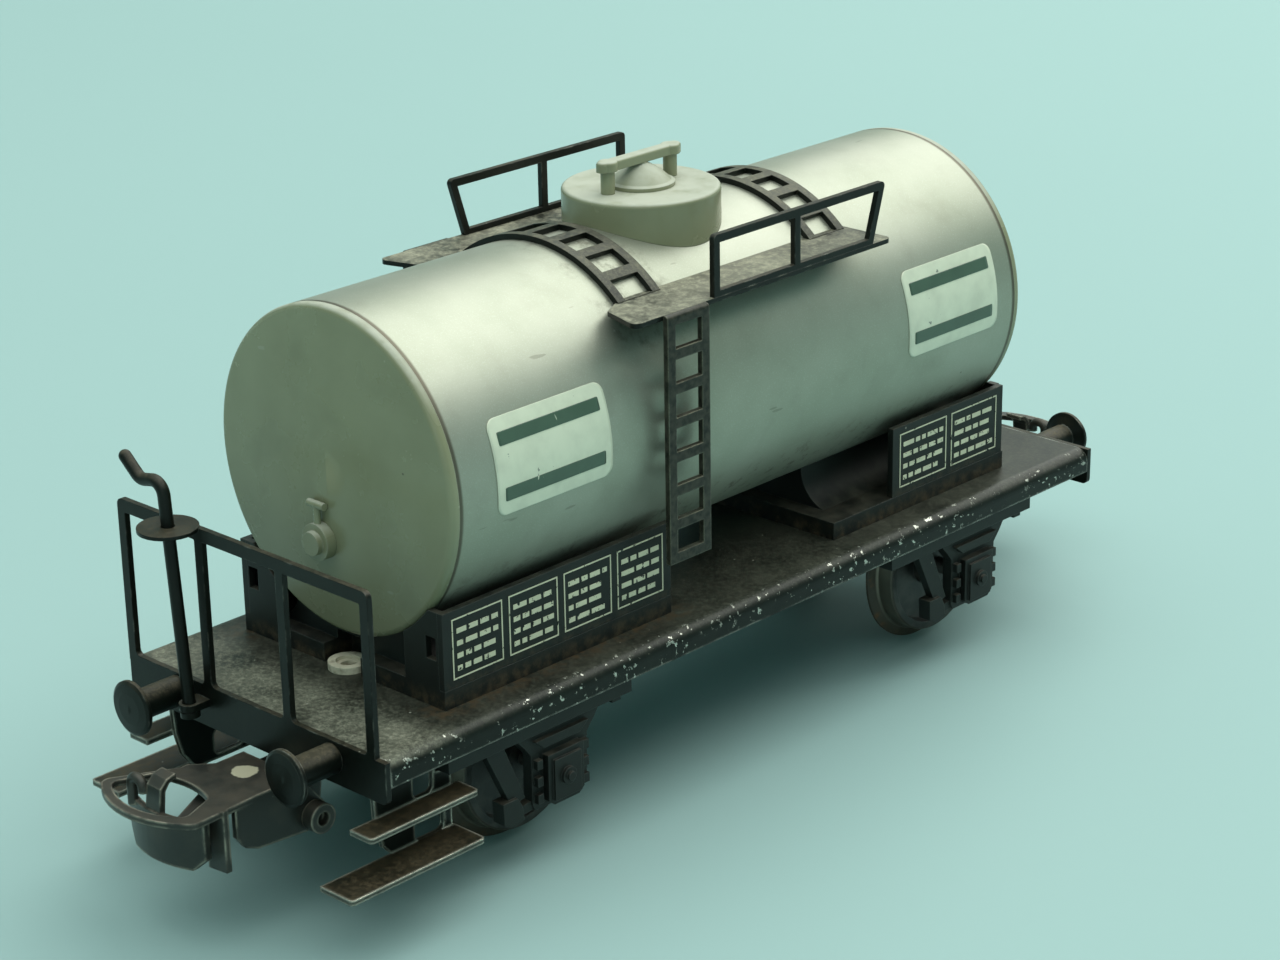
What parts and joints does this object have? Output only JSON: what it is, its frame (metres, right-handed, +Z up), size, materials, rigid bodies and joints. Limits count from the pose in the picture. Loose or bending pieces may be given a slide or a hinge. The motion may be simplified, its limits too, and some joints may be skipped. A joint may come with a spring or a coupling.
{
  "type": "model tank wagon",
  "caption": "Two-axle model railway tank wagon with an end platform and railing, walkways with ladders, data boards, buffers and loop-and-hook couplers.",
  "frame": {"origin": "on the surface that the wheel flanges stand on, under the middle of the wagon", "axes": "+X along the wagon, away from the end platform; +Y across; +Z up"},
  "size_m": [0.1158, 0.0319, 0.0512],
  "materials": {
    "tank_silver": "silver lacquer, satin, slightly grained",
    "tank_grey": "grey-green moulding, satin, dusty on top",
    "black_tinplate": "black lacquer on tinplate, satin, worn bright on the edges",
    "black_moulding": "black moulding, matt, dusty",
    "board_black": "black printed board, matt",
    "wheel_dark": "blackened casting with rust-brown traces, brighter tread",
    "axle_steel": "plain steel",
    "coupler_metal": "blackened steel, worn to brown metal on the rims",
    "cream_collar": "cream moulding, aged"
  },
  "bodies": {
    "wagon": {"axle_guard_front": "black_moulding", "axle_guard_rear": "black_moulding", "buffer_front_left": "black_tinplate", "buffer_front_right": "black_tinplate", "buffer_rear_left": "black_tinplate", "buffer_rear_right": "black_tinplate", "catwalk_left": "black_tinplate", "catwalk_right": "black_tinplate", "coupler_rivet_front": "cream_collar", "coupler_rivet_rear": "cream_collar", "cradle_front": "black_moulding", "cradle_rear": "black_moulding", "cradle_screws": "axle_steel", "data_board_front_left": "board_black", "data_board_front_right": "board_black", "data_board_rear_left": "board_black", "data_board_rear_right": "board_black", "deck": "black_tinplate", "dome": "tank_grey", "end_frame": "black_tinplate", "handrail_left": "black_tinplate", "handrail_right": "black_tinplate", "hatch_clamp": "tank_grey", "hatch_cover": "tank_grey", "ladder_left": "black_tinplate", "ladder_right": "black_tinplate", "outlet_cock": "tank_grey", "rear_headstock": "black_tinplate", "steps_left": "black_tinplate", "steps_right": "black_tinplate", "strap_front": "black_tinplate", "strap_rear": "black_tinplate", "tank_barrel": "tank_silver", "tank_end_front": "tank_grey", "tank_end_rear": "tank_grey", "underframe_rivets": "black_tinplate"},
    "wheelset_front": {"axle_front": "axle_steel", "wheel_front_left": "wheel_dark", "wheel_front_right": "wheel_dark"},
    "wheelset_rear": {"axle_rear": "axle_steel", "wheel_rear_left": "wheel_dark", "wheel_rear_right": "wheel_dark"},
    "coupler_front": {"coupler_arm_front": "coupler_metal"},
    "coupler_rear": {"coupler_arm_rear": "coupler_metal"},
    "loop_front": {"coupler_loop_front": "coupler_metal", "coupler_pin_front": "coupler_metal"},
    "loop_rear": {"coupler_loop_rear": "coupler_metal", "coupler_pin_rear": "coupler_metal"},
    "crank": {"brake_crank": "coupler_metal"}
  },
  "joints": [
    {"name": "wheelset_front_spin", "type": "hinge", "parent": "wagon", "child": "wheelset_front", "pos_m": [-0.0252, 0, 0.0075], "axis": [0, 1, 0], "continuous": true},
    {"name": "wheelset_rear_spin", "type": "hinge", "parent": "wagon", "child": "wheelset_rear", "pos_m": [0.0288, 0, 0.0075], "axis": [0, 1, 0], "continuous": true},
    {"name": "coupler_front_swivel", "type": "hinge", "parent": "wagon", "child": "coupler_front", "pos_m": [-0.0349, 0, 0.0105], "axis": [0, 0, 1], "range_deg": [-6, 6]},
    {"name": "coupler_rear_swivel", "type": "hinge", "parent": "wagon", "child": "coupler_rear", "pos_m": [0.0349, 0, 0.0105], "axis": [0, 0, 1], "range_deg": [-6, 6]},
    {"name": "loop_front_lift", "type": "hinge", "parent": "coupler_front", "child": "loop_front", "pos_m": [-0.044, 0, 0.008], "axis": [0, 1, 0], "range_deg": [0, 12]},
    {"name": "loop_rear_lift", "type": "hinge", "parent": "coupler_rear", "child": "loop_rear", "pos_m": [0.044, 0, 0.008], "axis": [0, -1, 0], "range_deg": [0, 12]},
    {"name": "brake_crank_turn", "type": "hinge", "parent": "wagon", "child": "crank", "pos_m": [-0.0463, 0.0061, 0.0142], "axis": [0, 0.0698, 0.9976], "continuous": true}
  ]
}
